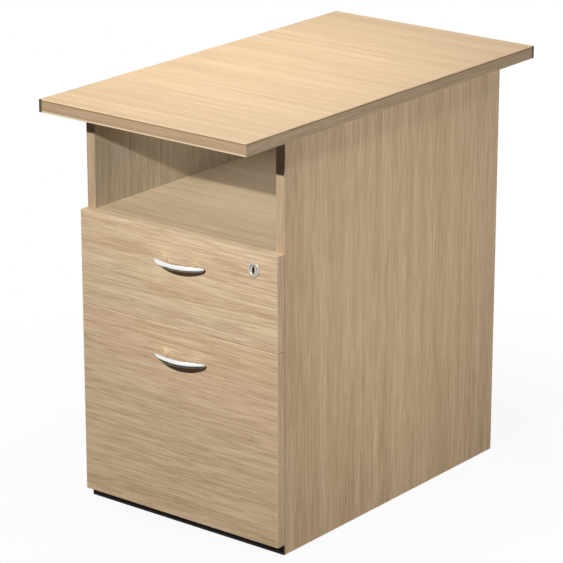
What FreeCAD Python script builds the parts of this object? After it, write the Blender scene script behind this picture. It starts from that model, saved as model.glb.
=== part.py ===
import FreeCAD, Part
import math
import os

from FreeCAD import Vector

# Desk-high drawer pedestal: a box of faced boards with an open compartment over a shallow
# drawer and a filing drawer, under an overhanging top.
# Millimetres.  X to the right, Y to the back (the drawers face -Y), Z up from the floor.
# The origin is on the floor under the middle of the top.

# ---------------------------------------------------------------- driving dimensions
OVERALL_HEIGHT = 730.0      # floor to the top's upper face
BODY_WIDTH = 420.0          # over both side panels
BODY_DEPTH = 600.0          # front edge to back panel
BOARD = 18.0                # carcass boards
TOP_THICKNESS = 22.0
TOP_SIDE_OVERHANG = 7.0
TOP_FRONT_OVERHANG = 105.0
TOP_REAR_OVERHANG = 95.0
TOP_EDGING = 2.0            # edging strip round the top
TOP_ARRIS = 1.2             # rounding of that strip's corners
SIDE_EDGING = 1.0           # edging on the side panels' front edges
FLOOR_GAP = 2.0             # boards stand this clear of the floor
KICK_HEIGHT = 18.0          # below the drawer fronts
KICK_THICKNESS = 2.0

FRONT_THICKNESS = 18.0
FRONT_GAP = 0.6             # between a drawer front and the carcass
FRONT_ARRIS = 0.5
LOWER_FRONT_HEIGHT = 338.0
UPPER_FRONT_HEIGHT = 164.3
DRAWER_GAP = 1.2            # between the two fronts

BOX_BOARD = 12.0            # drawer box sides, fronts and backs
BOX_ARRIS = 1.0
BOX_BOTTOM = 4.0
BOX_GROOVE = 5.0            # depth of the groove that holds a drawer bottom
BOX_BOTTOM_RAISE = 8.0      # drawer bottom above the lower edge of its box
RUNNER_SPACE = 12.7         # between a drawer box and a side panel
UPPER_BOX_LENGTH = 450.0
UPPER_BOX_HEIGHT = 92.0
UPPER_BOX_RAISE = 12.0      # box above the lower edge of its front
UPPER_TRAVEL = 340.0
LOWER_BOX_LENGTH = 500.0
LOWER_BOX_HEIGHT = 265.0
LOWER_BOX_RAISE = 35.0
LOWER_TRAVEL = 480.0

SHEET = 1.2                 # steel of the runners
FIT = 0.05                  # radial running clearance
EASE = 0.3                  # clearance between faces that pass each other
HARDWARE_SIDES = 8          # flat sides of small hidden hardware
LOCK_SIDES = 24             # flat sides of the lock's holes and collars

# ---------------------------------------------------------------- places that follow
TOP_WIDTH = BODY_WIDTH + 2 * TOP_SIDE_OVERHANG
TOP_DEPTH = BODY_DEPTH + TOP_FRONT_OVERHANG + TOP_REAR_OVERHANG
TOP_UNDERSIDE = OVERALL_HEIGHT - TOP_THICKNESS
SIDE_OUT = BODY_WIDTH / 2
SIDE_IN = SIDE_OUT - BOARD
FRONT_EDGE = -TOP_DEPTH / 2 + TOP_FRONT_OVERHANG
BACK_FACE = FRONT_EDGE + BODY_DEPTH
BACK_IN = BACK_FACE - BOARD
DOOR_BACK = FRONT_EDGE - FRONT_GAP
DOOR_FACE = DOOR_BACK - FRONT_THICKNESS
BOTTOM_UNDER = FLOOR_GAP + KICK_HEIGHT
BOTTOM_UPPER = BOTTOM_UNDER + BOARD
LOWER_FRONT_TOP = BOTTOM_UNDER + LOWER_FRONT_HEIGHT
UPPER_FRONT_FOOT = LOWER_FRONT_TOP + DRAWER_GAP
UPPER_FRONT_TOP = UPPER_FRONT_FOOT + UPPER_FRONT_HEIGHT
SHELF_UPPER = UPPER_FRONT_TOP
SHELF_UNDER = SHELF_UPPER - BOARD
BOX_OUT = SIDE_IN - RUNNER_SPACE
BOX_IN = BOX_OUT - BOX_BOARD
UPPER_BOX_FOOT = UPPER_FRONT_FOOT + UPPER_BOX_RAISE
LOWER_BOX_FOOT = BOTTOM_UNDER + LOWER_BOX_RAISE

# ---------------------------------------------------------------- helpers
X_AXIS = Vector(1, 0, 0)
Y_AXIS = Vector(0, 1, 0)
Z_AXIS = Vector(0, 0, 1)

nodes = {}


def block(x0, x1, y0, y1, z0, z1):
    """A box between two planes on each axis."""
    return Part.makeBox(x1 - x0, y1 - y0, z1 - z0, Vector(x0, y0, z0))


def rod(radius, start, end):
    """A cylinder from one point to another."""
    line = end - start
    return Part.makeCylinder(radius, line.Length, start, line)


def turned(outline, start, direction, sides=HARDWARE_SIDES):
    """A small turned piece with flat sides, which keeps what repeats light: 'outline' lists
    (distance along the axis, radius) pairs, and each radius is that of the drilled circle it fits."""
    across = direction.cross(Z_AXIS if abs(direction.z) < 0.5 else X_AXIS).normalize()
    other = direction.cross(across)
    rings = []
    for distance, radius in outline:
        centre = start + direction * distance
        ring = [centre + (across * math.cos(angle) + other * math.sin(angle)) * radius
                for angle in (2 * math.pi * (side + 0.5) / sides for side in range(sides))]
        rings.append(ring if radius > 0 else [centre])
    faces = []
    for near, far in zip(rings, rings[1:]):
        for side in range(sides):
            turn = (side + 1) % sides
            corners = [near[side % len(near)], near[turn % len(near)],
                       far[turn % len(far)], far[side % len(far)]]
            corners = [point for place, point in enumerate(corners) if point not in corners[:place]]
            faces.append(Part.Face(Part.makePolygon(corners + corners[:1])))
    for ring in (rings[0], rings[-1]):
        if len(ring) > 1:
            faces.append(Part.Face(Part.makePolygon(ring + ring[:1])))
    solid = Part.makeSolid(Part.makeShell(faces))
    return solid if solid.Volume > 0 else solid.reversed()


def pin(radius, start, end, sides=HARDWARE_SIDES):
    """A straight turned pin, or the hole for one."""
    line = end - start
    return turned([(0, radius), (line.Length, radius)], start, line.normalize(), sides)


def round_hole(radius, start, end, sides=LOCK_SIDES):
    """A hole with flat sides that all clear a round piece of this radius."""
    return pin(radius / math.cos(math.pi / sides), start, end, sides)


def fuse(shapes):
    """One clean solid from touching or crossing ones."""
    whole = shapes[0].fuse(shapes[1:]) if len(shapes) > 1 else shapes[0]
    return whole.removeSplitter()


def cut(shape, tools):
    return shape.cut(tools) if tools else shape


def mirrored(shape):
    """The same piece on the left-hand side."""
    return shape.mirror(Vector(0, 0, 0), X_AXIS)


def edges_along(shape, axis, test):
    """Straight edges parallel to an axis whose middle point passes the test."""
    found = []
    for edge in shape.Edges:
        ends = [vertex.Point for vertex in edge.Vertexes]
        if len(ends) != 2:
            continue
        line = ends[1] - ends[0]
        if line.Length > 1e-6 and abs(abs(line.normalize().dot(axis)) - 1) < 1e-6:
            if test((ends[0] + ends[1]) * 0.5):
                found.append(edge)
    return found


def keep(name, shapes):
    """Files one solid, or a group of separate solids, under a node's name."""
    group = shapes if isinstance(shapes, list) else [shapes]
    nodes[name] = [solid for shape in group for solid in shape.Solids]


# ---------------------------------------------------------------- knock-down fittings
CAM_RADIUS = 7.5
CAM_DEPTH = 12.5
CAM_INSET = 34.0            # cam centre from the joint
BOLT_RADIUS = 3.5
BOLT_HEAD_RADIUS = 2.5
BOLT_THREAD_RADIUS = 2.5
BOLT_THREAD = 11.0
DOWEL_RADIUS = 4.0
DOWEL_LENGTH = 30.0
DOWEL_IN_FACE = 10.0        # part of a dowel in the panel's face, the rest is in the edge
FITTING_SETBACK = 60.0      # first fitting from the boards' ends
DOWEL_PITCH = 32.0          # a dowel stands this far from its cam bolt

cams = []
bolts = []
dowels = []
drillings = {}


def drill(panel, tool):
    drillings.setdefault(panel, []).append(tool)


def cam_joint(joint, into, face, edge_panel, face_panel):
    """A cam and its bolt.  'joint' is the point where the bolt crosses the joint, 'into' points
    along the bolt into the panel that holds the cam, 'face' points out of the cam's mouth."""
    seat = joint + into * CAM_INSET
    mouth = seat + face * (BOARD / 2)
    floor = mouth - face * CAM_DEPTH
    neck = CAM_INSET - CAM_RADIUS - 1.0
    thread_end = joint - into * BOLT_THREAD
    way_in = turned([(0, BOLT_RADIUS + FIT), (CAM_RADIUS + 1.0, BOLT_HEAD_RADIUS + FIT)],
                    seat - into * (CAM_RADIUS + 1.0), into)
    cams.append(pin(CAM_RADIUS, floor, mouth).cut(way_in))
    bolts.append(turned([(0, BOLT_THREAD_RADIUS), (BOLT_THREAD + neck, BOLT_RADIUS),
                         (BOLT_THREAD + CAM_INSET, BOLT_HEAD_RADIUS)], thread_end, into))
    drill(edge_panel, pin(CAM_RADIUS + FIT, floor, mouth + face))
    drill(edge_panel, pin(BOLT_RADIUS + FIT, joint - into, seat))
    drill(face_panel, turned([(0, BOLT_THREAD_RADIUS + FIT), (BOLT_THREAD + neck, BOLT_RADIUS + FIT)],
                             thread_end, into))


def dowel_joint(joint, into, edge_panel, face_panel):
    """A wooden dowel across a joint."""
    start = joint - into * DOWEL_IN_FACE
    end = start + into * DOWEL_LENGTH
    dowels.append(pin(DOWEL_RADIUS, start, end))
    drill(edge_panel, pin(DOWEL_RADIUS + FIT, joint - into, end))
    drill(face_panel, pin(DOWEL_RADIUS + FIT, start, joint + into))


def side_joints(side, panel, side_panel, along, level, face):
    """Cams and dowels that tie the end of a lying board to a side panel, at given depths."""
    into = Vector(-side, 0, 0)
    for depth, turn in along:
        joint = Vector(side * SIDE_IN, depth, level)
        cam_joint(joint, into, face, panel, side_panel)
        dowel_joint(joint + Vector(0, turn * DOWEL_PITCH, 0), into, panel, side_panel)


FITTING_FRONT = FRONT_EDGE + FITTING_SETBACK
FITTING_REAR = BACK_IN - FITTING_SETBACK
SHELF_MIDDLE = SHELF_UPPER - BOARD / 2
BOTTOM_MIDDLE = BOTTOM_UPPER - BOARD / 2
BACK_MIDDLE = BACK_FACE - BOARD / 2
BACK_LEVELS = (BOTTOM_UPPER + 62.0, SHELF_UNDER - 45.0)

for side, side_panel in ((1, "right_side_panel"), (-1, "left_side_panel")):
    spots = ((FITTING_FRONT, 1), (FITTING_REAR, -1))
    side_joints(side, "compartment_shelf", side_panel, spots, SHELF_MIDDLE, -Z_AXIS)
    side_joints(side, "bottom_panel", side_panel, spots, BOTTOM_MIDDLE, -Z_AXIS)
    for depth, turn in spots:
        joint = Vector(side * (SIDE_OUT - BOARD / 2), depth, TOP_UNDERSIDE)
        cam_joint(joint, -Z_AXIS, Vector(-side, 0, 0), side_panel, "top_panel")
        dowel_joint(joint + Vector(0, turn * DOWEL_PITCH, 0), -Z_AXIS, side_panel, "top_panel")
    for level in BACK_LEVELS:
        joint = Vector(side * SIDE_IN, BACK_MIDDLE, level)
        cam_joint(joint, Vector(-side, 0, 0), -Y_AXIS, "back_panel", side_panel)
        dowel_joint(joint + Vector(0, 0, -DOWEL_PITCH), Vector(-side, 0, 0), "back_panel", side_panel)

# ---------------------------------------------------------------- carcass boards
top_x = TOP_WIDTH / 2
top_y = TOP_DEPTH / 2
core_x = top_x - TOP_EDGING
core_y = top_y - TOP_EDGING

# A runner channel or a guide may cross the lock bar's groove, which is milled in the right panel.
BAR_WIDTH = 12.0
BAR_THICKNESS = 3.5
BAR_SETBACK = 33.0          # bar behind the carcass front edge
BAR_MIDDLE = FRONT_EDGE + BAR_SETBACK
BAR_SINK = 0.6              # bar face behind the panel's inner face
GROOVE_DEPTH = BAR_SINK + BAR_THICKNESS + 0.4

LOCK_INSET = 48.5
LOCK_DROP = 31.5
LOCK_X = BODY_WIDTH / 2 - LOCK_INSET
LOCK_Z = UPPER_FRONT_TOP - LOCK_DROP
PIN_OFFSET = 5.0            # eccentric pin of the lock
PIN_RADIUS = 2.0
PIN_PLAY = 0.3              # pin in the bar's slot
LOCK_TURN = math.radians(90)
BAR_LIFT = 2 * PIN_OFFSET * math.sin(LOCK_TURN / 2)

CHANNEL_FOOT = UPPER_BOX_FOOT - 1.0
ROLLER_RADIUS = 10.5
ROLLER_LEVEL = CHANNEL_FOOT + SHEET + EASE + ROLLER_RADIUS
RAIL_UNDER = ROLLER_LEVEL + ROLLER_RADIUS + EASE
CHANNEL_TOP = RAIL_UNDER + SHEET + 0.5 + SHEET
BALL_RUNNER_RAISE = 65.0
BALL_RUNNER_LEVEL = LOWER_BOX_FOOT + BALL_RUNNER_RAISE
BALL_RUNNER_HALF = 22.85

STUD_RADIUS = 3.0
STUD_REACH = 8.5            # stud beyond the panel's face
CATCH_EASE = 0.5            # unlocked stud under its catch
UPPER_STUD = CHANNEL_TOP + STUD_RADIUS + 3.0
LOWER_STUD = BALL_RUNNER_LEVEL + BALL_RUNNER_HALF + STUD_RADIUS + 6.0
BAR_TAIL = 14.0             # bar below its lower stud
BAR_FOOT = LOWER_STUD - BAR_TAIL
PLATE_TOP = LOCK_Z + 2.5
GROOVE_TOP = PLATE_TOP + BAR_LIFT + 2.0


def build_top():
    core = block(-core_x, core_x, -core_y, core_y, TOP_UNDERSIDE, OVERALL_HEIGHT)
    keep("top_panel", cut(core, drillings["top_panel"]))

    def arris(strip, outside):
        corners = edges_along(strip, X_AXIS, outside) + edges_along(strip, Y_AXIS, outside)
        return strip.makeFillet(TOP_ARRIS, corners)

    end = block(-core_x, core_x, -top_y, -core_y, TOP_UNDERSIDE, OVERALL_HEIGHT)
    end = arris(end, lambda p: abs(p.y) > top_y - 0.1)
    keep("top_end_edgings", [end, end.mirror(Vector(0, 0, 0), Y_AXIS)])
    long = block(core_x, top_x, -top_y, top_y, TOP_UNDERSIDE, OVERALL_HEIGHT)
    long = arris(long, lambda p: p.x > top_x - 0.1)
    keep("top_side_edgings", [long, mirrored(long)])


def build_carcass():
    panel_front = FRONT_EDGE + SIDE_EDGING
    side = block(SIDE_IN, SIDE_OUT, panel_front, BACK_FACE, FLOOR_GAP, TOP_UNDERSIDE)
    groove = block(SIDE_IN - 1, SIDE_IN + GROOVE_DEPTH, BAR_MIDDLE - BAR_WIDTH / 2 - EASE,
                   BAR_MIDDLE + BAR_WIDTH / 2 + EASE, BAR_FOOT - 2.0, GROOVE_TOP)
    keep("right_side_panel", cut(side, drillings["right_side_panel"] + [groove]))
    keep("left_side_panel", cut(mirrored(side), drillings["left_side_panel"]))

    strip = block(SIDE_IN, SIDE_OUT, FRONT_EDGE, panel_front, FLOOR_GAP, TOP_UNDERSIDE)
    outer = edges_along(strip, Z_AXIS, lambda p: p.y < FRONT_EDGE + 0.1)
    strip = strip.makeChamfer(SIDE_EDGING / 2, outer)
    keep("side_panel_edgings", [strip, mirrored(strip)])

    back = block(-SIDE_IN, SIDE_IN, BACK_IN, BACK_FACE, FLOOR_GAP, TOP_UNDERSIDE)
    keep("back_panel", cut(back, drillings["back_panel"]))
    shelf = block(-SIDE_IN, SIDE_IN, FRONT_EDGE, BACK_IN, SHELF_UNDER, SHELF_UPPER)
    keep("compartment_shelf", cut(shelf, drillings["compartment_shelf"]))
    bottom = block(-SIDE_IN, SIDE_IN, FRONT_EDGE, BACK_IN, BOTTOM_UNDER, BOTTOM_UPPER)
    holes = drillings["bottom_panel"] + [pin(INSERT_RADIUS + FIT, foot + Z_AXIS * (BOTTOM_UNDER - 1),
                                             foot + Z_AXIS * (BOTTOM_UPPER + 1)) for foot in FEET]
    keep("bottom_panel", cut(bottom, holes))
    keep("cam_housings", cams)
    keep("cam_bolts", bolts)
    keep("dowels", dowels)


def build_plinth():
    """A dark clip-on strip across the whole width hides the gap under the drawer fronts; its rib
    is pressed into a groove of the rail between the side panels."""
    rail_depth = BOARD
    rib_height = 3.0
    rib_reach = 6.0
    middle = FLOOR_GAP + KICK_HEIGHT / 2
    rail = block(-SIDE_IN, SIDE_IN, FRONT_EDGE, FRONT_EDGE + rail_depth, FLOOR_GAP, BOTTOM_UNDER)
    slot = block(-SIDE_IN, SIDE_IN, FRONT_EDGE - 1, FRONT_EDGE + rib_reach + EASE,
                 middle - rib_height / 2 - FIT, middle + rib_height / 2 + FIT)
    keep("plinth_rail", rail.cut(slot))
    face = block(-SIDE_OUT, SIDE_OUT, FRONT_EDGE - KICK_THICKNESS, FRONT_EDGE,
                 FLOOR_GAP + EASE, BOTTOM_UNDER - 1.0)
    rib = block(-SIDE_IN + 1, SIDE_IN - 1, FRONT_EDGE, FRONT_EDGE + rib_reach,
                middle - rib_height / 2, middle + rib_height / 2)
    keep("kick_strip", fuse([face, rib]))


# ---------------------------------------------------------------- levelling feet
INSERT_RADIUS = 7.0
INSERT_FLANGE = 10.0
FOOT_STEM = 4.0
FOOT_PAD = 15.0
FOOT_PAD_HEIGHT = 6.0
FOOT_INSET = 25.0
FEET = [Vector(x * (SIDE_IN - FOOT_INSET), y, 0)
        for y in (FRONT_EDGE + FOOT_INSET + BOARD, BACK_IN - FOOT_INSET) for x in (-1, 1)]
FOOT_NAMES = ("foot_front_left", "foot_front_right", "foot_rear_left", "foot_rear_right")


def build_feet():
    inserts = []
    for name, foot in zip(FOOT_NAMES, FEET):
        flange_under = foot + Z_AXIS * (BOTTOM_UNDER - 1.5)
        upper = foot + Z_AXIS * BOTTOM_UPPER
        sleeve = turned([(0, INSERT_FLANGE), (1.5, INSERT_FLANGE), (1.5, INSERT_RADIUS),
                         (upper.z - flange_under.z, INSERT_RADIUS)], flange_under, Z_AXIS)
        inserts.append(sleeve.cut(pin(FOOT_STEM + FIT, foot, upper + Z_AXIS)))
        stem_top = foot + Z_AXIS * (BOTTOM_UPPER - 2.0)
        rim = FOOT_PAD_HEIGHT - 2.0
        disc = turned([(0, FOOT_PAD), (rim, FOOT_PAD), (FOOT_PAD_HEIGHT, FOOT_PAD * 0.6)], foot, Z_AXIS, 16)
        pad = fuse([disc, pin(FOOT_STEM, foot + Z_AXIS * rim, stem_top)])
        slot = block(foot.x - FOOT_STEM, foot.x + FOOT_STEM, foot.y - 0.6, foot.y + 0.6,
                     stem_top.z - 2.5, stem_top.z + 1)
        keep(name, pad.cut(slot))
    keep("foot_inserts", inserts)


# ---------------------------------------------------------------- upper drawer's roller runners
AXLE_RADIUS = 2.5
ROLLER_WIDTH = 7.6
CHANNEL_LENGTH = UPPER_BOX_LENGTH
CHANNEL_SETBACK = 2.0
FRONT_ROLLER_Y = FRONT_EDGE + CHANNEL_SETBACK + ROLLER_RADIUS + 2.0
REAR_ROLLER_Y = DOOR_BACK + UPPER_BOX_LENGTH - ROLLER_RADIUS - 2.0
STOP_HEIGHT = 3.0
SCREW_RADIUS = 1.75
SCREW_HEAD = 3.4
SCREW_LENGTH = 13.0
SCREW_SIDES = 8

screws = []


def panel_screw(depth, level, web):
    """A countersunk screw through a runner's web into the right side panel, and its mirror image.
    Returns the hole to cut in the web."""
    head = Vector(SIDE_IN - web, depth, level)
    sink = SCREW_HEAD - SCREW_RADIUS
    outline = [(0, SCREW_HEAD), (sink, SCREW_RADIUS), (web + SCREW_LENGTH, SCREW_RADIUS)]
    slot = block(head.x - 1, head.x + 0.5, depth - 0.4, depth + 0.4, level - 4, level + 4)
    screw = turned(outline, head, X_AXIS, SCREW_SIDES)
    screws.append(screw.cut(slot))
    screws.append(mirrored(screw.cut(slot)))
    drill("right_side_panel", screw)
    drill("left_side_panel", mirrored(screw))
    return screw


def build_roller_runners():
    """Cabinet member: a channel with a roller at its mouth.  Drawer member: an angle under the
    box with a flange that runs over that roller and a roller of its own at the back."""
    front = FRONT_EDGE + CHANNEL_SETBACK
    rear = front + CHANNEL_LENGTH
    flange_x = BOX_OUT + SHEET + 1.0
    roller_out = SIDE_IN - SHEET - 0.8
    roller_in = roller_out - ROLLER_WIDTH
    web = block(SIDE_IN - SHEET, SIDE_IN, front, rear, CHANNEL_FOOT, CHANNEL_TOP)
    lower = block(flange_x, SIDE_IN - SHEET, front, rear, CHANNEL_FOOT, CHANNEL_FOOT + SHEET)
    upper = block(flange_x, SIDE_IN - SHEET, front, rear, CHANNEL_TOP - SHEET, CHANNEL_TOP)
    lip = block(flange_x, flange_x + SHEET, front, rear, CHANNEL_TOP - SHEET, CHANNEL_TOP + 1.5)
    axle = rod(AXLE_RADIUS, Vector(roller_in - 0.3, FRONT_ROLLER_Y, ROLLER_LEVEL),
               Vector(SIDE_IN - SHEET, FRONT_ROLLER_Y, ROLLER_LEVEL))
    touch = math.sqrt(ROLLER_RADIUS ** 2 - (ROLLER_RADIUS - STOP_HEIGHT) ** 2)
    stop_y = REAR_ROLLER_Y - UPPER_TRAVEL - touch - 1.0
    stop = block(flange_x, SIDE_IN - SHEET, stop_y - 2.0, stop_y,
                 CHANNEL_FOOT + SHEET, CHANNEL_FOOT + SHEET + STOP_HEIGHT)
    channel = fuse([web, lower, upper, lip, axle, stop])
    level = (CHANNEL_FOOT + CHANNEL_TOP) / 2
    holes = [panel_screw(front + share * CHANNEL_LENGTH, level, SHEET) for share in (0.16, 0.9)]
    channel = channel.cut(holes)
    keep("upper_runner_channel_right", channel)
    keep("upper_runner_channel_left", mirrored(channel))

    def roller(y):
        centre = Vector(roller_in, y, ROLLER_LEVEL)
        tyre = rod(ROLLER_RADIUS, centre, centre + X_AXIS * ROLLER_WIDTH)
        bore = round_hole(AXLE_RADIUS + FIT, centre - X_AXIS, centre + X_AXIS * (ROLLER_WIDTH + 1), 12)
        return tyre.cut(bore)

    keep("front_rollers", [roller(FRONT_ROLLER_Y), mirrored(roller(FRONT_ROLLER_Y))])
    keep("rear_rollers", [roller(REAR_ROLLER_Y), mirrored(roller(REAR_ROLLER_Y))])

    rail_front = DOOR_BACK + 1.0
    rail_rear = DOOR_BACK + UPPER_BOX_LENGTH
    run_rear = REAR_ROLLER_Y - ROLLER_RADIUS - 3.0
    seat = block(BOX_IN, BOX_OUT + SHEET, rail_front, rail_rear, UPPER_BOX_FOOT - SHEET, UPPER_BOX_FOOT)
    cheek = block(BOX_OUT, BOX_OUT + SHEET, rail_front, rail_rear,
                  UPPER_BOX_FOOT - SHEET, RAIL_UNDER + SHEET)
    run = block(BOX_OUT + SHEET, SIDE_IN - SHEET - 0.5, rail_front, run_rear,
                RAIL_UNDER, RAIL_UNDER + SHEET)
    rear_axle = rod(AXLE_RADIUS, Vector(BOX_OUT + SHEET, REAR_ROLLER_Y, ROLLER_LEVEL),
                    Vector(roller_out + 0.3, REAR_ROLLER_Y, ROLLER_LEVEL))
    rail = fuse([seat, cheek, run, rear_axle])
    keep("upper_runner_rail_right", rail)
    keep("upper_runner_rail_left", mirrored(rail))


# ---------------------------------------------------------------- lower drawer's ball runners
BALL_RUNNER_LENGTH = LOWER_BOX_LENGTH
OUTER_BALL = 2.4
INNER_BALL = 1.8
BALL_PLAY = 0.05
CAGE_LENGTH = 220.0
CAGE_SHEET = 0.5
BALLS_PER_ROW = 3
BALL_BANDS = 4
BALL_SIDES = 6              # a corner of each ball meets each raceway


def profile(u0, u1, half, y0, y1, open_side):
    """A channel with its web at u0 (open_side 1) or u1 (open_side -1); u is measured from the
    side panel towards the drawer."""
    outer = block(SIDE_IN - u1, SIDE_IN - u0, y0, y1, BALL_RUNNER_LEVEL - half, BALL_RUNNER_LEVEL + half)
    inside = half - SHEET
    hollow_0 = u0 + SHEET if open_side > 0 else u0 - 1
    hollow_1 = u1 + 1 if open_side > 0 else u1 - SHEET
    hollow = block(SIDE_IN - hollow_1, SIDE_IN - hollow_0, y0 - 1, y1 + 1,
                   BALL_RUNNER_LEVEL - inside, BALL_RUNNER_LEVEL + inside)
    return outer.cut(hollow)


def ball_set(row, ball, u, front, web):
    """One cage with its two rows of balls: a bent strip whose flanges hold the balls."""
    half = row + CAGE_SHEET / 2
    shell = block(SIDE_IN - u - 3.0, SIDE_IN - web, front, front + CAGE_LENGTH,
                  BALL_RUNNER_LEVEL - half, BALL_RUNNER_LEVEL + half)
    inside = half - CAGE_SHEET
    shell = shell.cut(block(SIDE_IN - u - 4.0, SIDE_IN - web - CAGE_SHEET, front - 1,
                            front + CAGE_LENGTH + 1, BALL_RUNNER_LEVEL - inside,
                            BALL_RUNNER_LEVEL + inside))
    balls = []
    pitch = CAGE_LENGTH / BALLS_PER_ROW
    for place in range(BALLS_PER_ROW):
        for way in (-1, 1):
            centre = Vector(SIDE_IN - u, front + pitch * (place + 0.5), BALL_RUNNER_LEVEL + way * row)
            bands = [math.pi * band / BALL_BANDS for band in range(BALL_BANDS + 1)]
            outline = [(-ball * math.cos(a), ball * math.sin(a) if 0 < a < 3.1 else 0) for a in bands]
            balls.append(turned(outline, centre, X_AXIS, BALL_SIDES))
            shell = shell.cut(pin(ball + EASE, centre - Z_AXIS * 2, centre + Z_AXIS * 2, BALL_SIDES))
    return shell, balls


def build_ball_runners():
    """Full-extension runner: outer member on the cabinet, middle member, inner member on the
    drawer, with a caged set of balls between each pair."""
    front = FRONT_EDGE + CHANNEL_SETBACK
    rear = front + BALL_RUNNER_LENGTH
    ball_u = 7.0
    outer_row = BALL_RUNNER_HALF - SHEET - BALL_PLAY - OUTER_BALL
    middle_half = outer_row - OUTER_BALL - BALL_PLAY
    inner_row = middle_half - SHEET - BALL_PLAY - INNER_BALL
    inner_half = inner_row - INNER_BALL - BALL_PLAY
    middle_web = SHEET + 1.2
    outer = profile(0, 10.5, BALL_RUNNER_HALF, front, rear, 1)
    middle = profile(middle_web, 10.5, middle_half, front, rear - 10, 1)
    inner = profile(5.6, RUNNER_SPACE, inner_half, front, rear, -1)
    holes = [panel_screw(front + share * BALL_RUNNER_LENGTH, BALL_RUNNER_LEVEL, SHEET)
             for share in (0.14, 0.9)]
    outer = outer.cut(holes)
    keep("lower_runner_outer_right", outer)
    keep("lower_runner_outer_left", mirrored(outer))
    keep("runner_middle_members", [middle, mirrored(middle)])
    keep("lower_runner_inner_right", inner)
    keep("lower_runner_inner_left", mirrored(inner))
    cage_front = front + LOWER_TRAVEL / 4 + 6.0
    cage, balls = ball_set(outer_row, OUTER_BALL, ball_u, cage_front, SHEET + 0.3)
    keep("outer_ball_cages", [cage, mirrored(cage)])
    keep("outer_balls", balls + [mirrored(ball) for ball in balls])
    cage, balls = ball_set(inner_row, INNER_BALL, ball_u, cage_front, middle_web + SHEET + 0.3)
    keep("inner_ball_cages", [cage, mirrored(cage)])
    keep("inner_balls", balls + [mirrored(ball) for ball in balls])
    keep("runner_screws", screws)


# ---------------------------------------------------------------- drawers
HANDLE_DROP = 50.6          # handle's middle below the front's upper edge
HANDLE_X = 7.5              # handle's middle, a little towards the lock
HANDLE_SPAN = 110.0
HANDLE_PROUD = 29.0         # from the drawer front to the bow's outermost point
HANDLE_WIDTH = 8.0          # bow's width in the middle, in plan
HANDLE_HEIGHT = 12.0
HANDLE_TIP = 4.0            # tips' width in plan
HANDLE_TIP_HEIGHT = 7.0
HANDLE_TIP_GAP = 4.0
HANDLE_BEVEL = 2.5          # on the bow's outer corners
HANDLE_PITCH = 64.0         # between the two screws
HANDLE_SCREW_XS = (HANDLE_X - HANDLE_PITCH / 2, HANDLE_X + HANDLE_PITCH / 2)
HANDLE_SCREW = 2.0
SCREW_CAP = 4.0
SCREW_CAP_HEIGHT = 2.2
POST_LENGTH = 9.0
POST_HEIGHT = 7.0


def tapered_band(level):
    """The bow's front elevation as a solid band: full height in the middle, drawn down to the tips."""
    y = DOOR_FACE - HANDLE_PROUD - 1.0
    edges = []
    corners = []
    for way in (-1, 1):
        near = Vector(HANDLE_X - way * HANDLE_SPAN / 2, y, level + way * HANDLE_TIP_HEIGHT / 2)
        far = Vector(HANDLE_X + way * HANDLE_SPAN / 2, y, level + way * HANDLE_TIP_HEIGHT / 2)
        edges.append(Part.Arc(near, Vector(HANDLE_X, y, level + way * HANDLE_HEIGHT / 2), far).toShape())
        corners.append((near, far))
    (low_near, low_far), (high_near, high_far) = corners
    band = Part.Wire([edges[0], Part.makeLine(low_far, high_near), edges[1], Part.makeLine(high_far, low_near)])
    return Part.Face(band).extrude(Y_AXIS * HANDLE_PROUD)


def bow_handle(level):
    """A crescent bow on two posts: two arcs in plan that meet in blunt tips, with its corners bevelled."""
    half = HANDLE_SPAN / 2
    tip_in = DOOR_FACE - HANDLE_TIP_GAP
    tip_out = tip_in - HANDLE_TIP
    crown = DOOR_FACE - HANDLE_PROUD
    foot = level - HANDLE_HEIGHT / 2
    left, right = HANDLE_X - half, HANDLE_X + half
    left_in, right_in = Vector(left, tip_in, foot), Vector(right, tip_in, foot)
    left_out, right_out = Vector(left, tip_out, foot), Vector(right, tip_out, foot)
    outline = Part.Wire([
        Part.Arc(left_in, Vector(HANDLE_X, crown + HANDLE_WIDTH, foot), right_in).toShape(),
        Part.makeLine(right_in, right_out),
        Part.Arc(right_out, Vector(HANDLE_X, crown, foot), left_out).toShape(),
        Part.makeLine(left_out, left_in),
    ])
    bow = Part.Face(outline).extrude(Z_AXIS * HANDLE_HEIGHT).common(tapered_band(level))
    rims = [edge for edge in bow.Edges if edge.BoundBox.YMin < crown + 0.1 and edge.BoundBox.XLength > half]
    bow = bow.makeChamfer(HANDLE_BEVEL, rims)
    pieces = [bow]
    holes = []
    for x in HANDLE_SCREW_XS:
        post_end = crown + HANDLE_WIDTH - 3.0
        post = block(x - POST_LENGTH / 2, x + POST_LENGTH / 2, post_end, DOOR_FACE,
                     level - POST_HEIGHT / 2, level + POST_HEIGHT / 2)
        pieces.append(post)
        holes.append(pin(HANDLE_SCREW + FIT, Vector(x, DOOR_FACE - 9.0, level), Vector(x, DOOR_FACE, level)))
    return fuse(pieces).cut(holes)


def handle_screws(level, clamped):
    """Two cap screws from inside; 'clamped' is the thickness they pass through."""
    screws_made = []
    for x in HANDLE_SCREW_XS:
        reach = 8.5
        tip = Vector(x, DOOR_FACE - reach, level)
        seat = reach + clamped
        outline = [(0, HANDLE_SCREW), (seat, HANDLE_SCREW), (seat, SCREW_CAP),
                   (seat + SCREW_CAP_HEIGHT, SCREW_CAP)]
        cap = tip.y + seat + SCREW_CAP_HEIGHT
        cross = [block(x - 2.2, x + 2.2, cap - 1.2, cap + 1, level - 0.5, level + 0.5),
                 block(x - 0.5, x + 0.5, cap - 1.2, cap + 1, level - 2.2, level + 2.2)]
        screws_made.append(turned(outline, tip, Y_AXIS).cut(cross))
    return screws_made


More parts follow.
